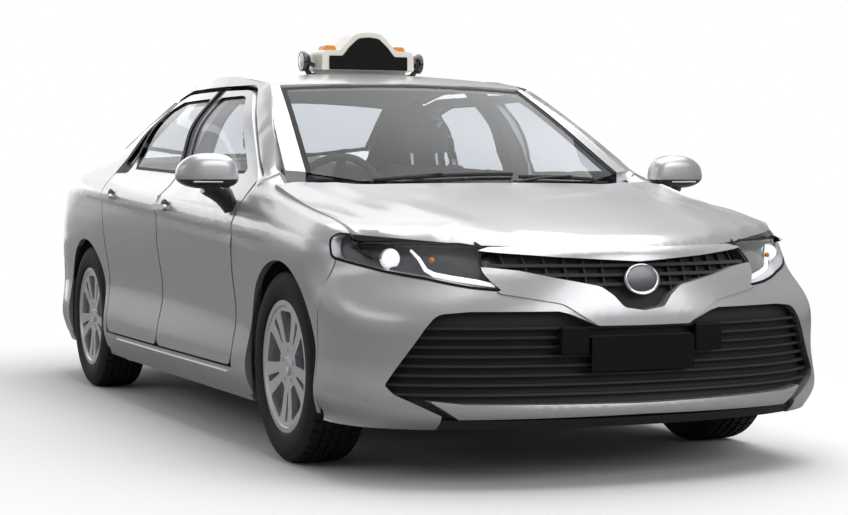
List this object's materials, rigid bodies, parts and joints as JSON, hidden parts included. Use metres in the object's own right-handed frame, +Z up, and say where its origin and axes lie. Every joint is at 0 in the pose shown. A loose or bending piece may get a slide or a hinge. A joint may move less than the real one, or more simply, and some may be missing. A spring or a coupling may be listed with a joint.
{
  "type": "taxi cab",
  "caption": "Silver four-door saloon taxi cab with a dome roof sign, hinged doors, hood and luggage lid, steered front wheels and free-rolling alloy wheels.",
  "frame": {"origin": "on the ground under the middle of the overall box", "axes": "+X forward, +Y to the car's left, +Z up"},
  "size_m": [4.8866, 2.2032, 1.6169],
  "materials": {
    "paint_silver": "metallic clear coat",
    "glass_tint": "tinted",
    "lamp_clear": "clear lens",
    "lamp_red": "red lens",
    "black_plastic": "textured",
    "tyre": "matt",
    "alloy": "painted",
    "cast_metal": "rough",
    "steel": "dull",
    "seat_fabric": "woven",
    "sign_white": "smooth",
    "sign_black": "smooth",
    "lamp_amber": "amber lens",
    "plate_black": "satin"
  },
  "bodies": {
    "body": {"roof_panel": "paint_silver", "windscreen": "glass_tint", "windscreen_pillars": "paint_silver", "rear_window": "glass_tint", "rear_pillars": "paint_silver", "roof_rails": "paint_silver", "rear_quarters": "paint_silver", "tail_lamps": "lamp_red", "front_fenders": "paint_silver", "sills": "paint_silver", "wheel_liners": "black_plastic", "centre_pillars": "black_plastic", "headlamps": "lamp_clear", "front_bumper": "paint_silver", "upper_grille": "black_plastic", "lower_grille": "black_plastic", "rear_bumper": "paint_silver", "floor_pan": "black_plastic", "rear_floor": "black_plastic", "firewall": "black_plastic", "parcel_shelf": "black_plastic", "dashboard": "black_plastic", "front_seats": "seat_fabric", "rear_seat": "seat_fabric", "engine_block": "cast_metal", "front_subframe": "steel", "rear_axle": "steel", "exhaust": "steel", "sign_housing": "sign_white", "sign_face": "sign_black", "sign_lamps": "sign_black", "sign_beacons": "lamp_amber", "number_plates": "plate_black", "front_structure": "steel"},
    "door_front_left": {"door_front_left": "paint_silver", "door_glass_front_left": "glass_tint", "mirror_left": "paint_silver"},
    "door_front_right": {"door_front_right": "paint_silver", "door_glass_front_right": "glass_tint", "mirror_right": "paint_silver"},
    "door_rear_left": {"door_rear_left": "paint_silver", "door_glass_rear_left": "glass_tint"},
    "door_rear_right": {"door_rear_right": "paint_silver", "door_glass_rear_right": "glass_tint"},
    "hood": {"hood": "paint_silver"},
    "trunk_lid": {"trunk_lid": "paint_silver"},
    "knuckle_left": {"front_left_knuckle": "cast_metal"},
    "knuckle_right": {"front_right_knuckle": "cast_metal"},
    "wheel_front_left": {"front_left_tyre": "tyre", "front_left_rim": "alloy"},
    "wheel_front_right": {"front_right_tyre": "tyre", "front_right_rim": "alloy"},
    "wheel_rear_left": {"rear_left_tyre": "tyre", "rear_left_rim": "alloy"},
    "wheel_rear_right": {"rear_right_tyre": "tyre", "rear_right_rim": "alloy"},
    "steering_wheel": {"steering_wheel": "black_plastic"}
  },
  "joints": [
    {"name": "door_front_left_hinge", "type": "hinge", "parent": "body", "child": "door_front_left", "pos_m": [0.95, 0.919, 0.6], "axis": [0, 0, -1], "range_deg": [0, 65]},
    {"name": "door_front_right_hinge", "type": "hinge", "parent": "body", "child": "door_front_right", "pos_m": [0.95, -0.919, 0.6], "axis": [0, 0, 1], "range_deg": [0, 65]},
    {"name": "door_rear_left_hinge", "type": "hinge", "parent": "body", "child": "door_rear_left", "pos_m": [-0.07, 0.919, 0.6], "axis": [0, 0, -1], "range_deg": [0, 65]},
    {"name": "door_rear_right_hinge", "type": "hinge", "parent": "body", "child": "door_rear_right", "pos_m": [-0.07, -0.919, 0.6], "axis": [0, 0, 1], "range_deg": [0, 65]},
    {"name": "hood_hinge", "type": "hinge", "parent": "body", "child": "hood", "pos_m": [1.112, 0, 0.982], "axis": [0, -1, 0], "range_deg": [0, 50]},
    {"name": "trunk_lid_hinge", "type": "hinge", "parent": "body", "child": "trunk_lid", "pos_m": [-1.642, 0, 1.092], "axis": [0, 1, 0], "range_deg": [0, 75]},
    {"name": "steer_left", "type": "hinge", "parent": "body", "child": "knuckle_left", "pos_m": [1.4775, 0.70138, 0.334], "axis": [0, -0.2434, 0.9699], "range_deg": [-30, 30]},
    {"name": "steer_right", "type": "hinge", "parent": "body", "child": "knuckle_right", "pos_m": [1.4775, -0.70138, 0.334], "axis": [0, 0.2434, 0.9699], "range_deg": [-30, 30]},
    {"name": "wheel_front_left_spin", "type": "hinge", "parent": "knuckle_left", "child": "wheel_front_left", "pos_m": [1.4775, 0.79, 0.334], "axis": [0, 1, 0], "continuous": true},
    {"name": "wheel_front_right_spin", "type": "hinge", "parent": "knuckle_right", "child": "wheel_front_right", "pos_m": [1.4775, -0.79, 0.334], "axis": [0, 1, 0], "continuous": true},
    {"name": "wheel_rear_left_spin", "type": "hinge", "parent": "body", "child": "wheel_rear_left", "pos_m": [-1.3475, 0.79, 0.334], "axis": [0, 1, 0], "continuous": true},
    {"name": "wheel_rear_right_spin", "type": "hinge", "parent": "body", "child": "wheel_rear_right", "pos_m": [-1.3475, -0.79, 0.334], "axis": [0, 1, 0], "continuous": true},
    {"name": "steering_wheel_turn", "type": "hinge", "parent": "body", "child": "steering_wheel", "pos_m": [0.6, -0.37, 0.905], "axis": [-0.9135, 0, 0.4067], "range_deg": [-450, 450]}
  ],
  "couplings": [
    {"joint": "steer_right", "follows": "steer_left", "ratio": 1},
    {"joint": "steering_wheel_turn", "follows": "steer_left", "ratio": 15}
  ]
}
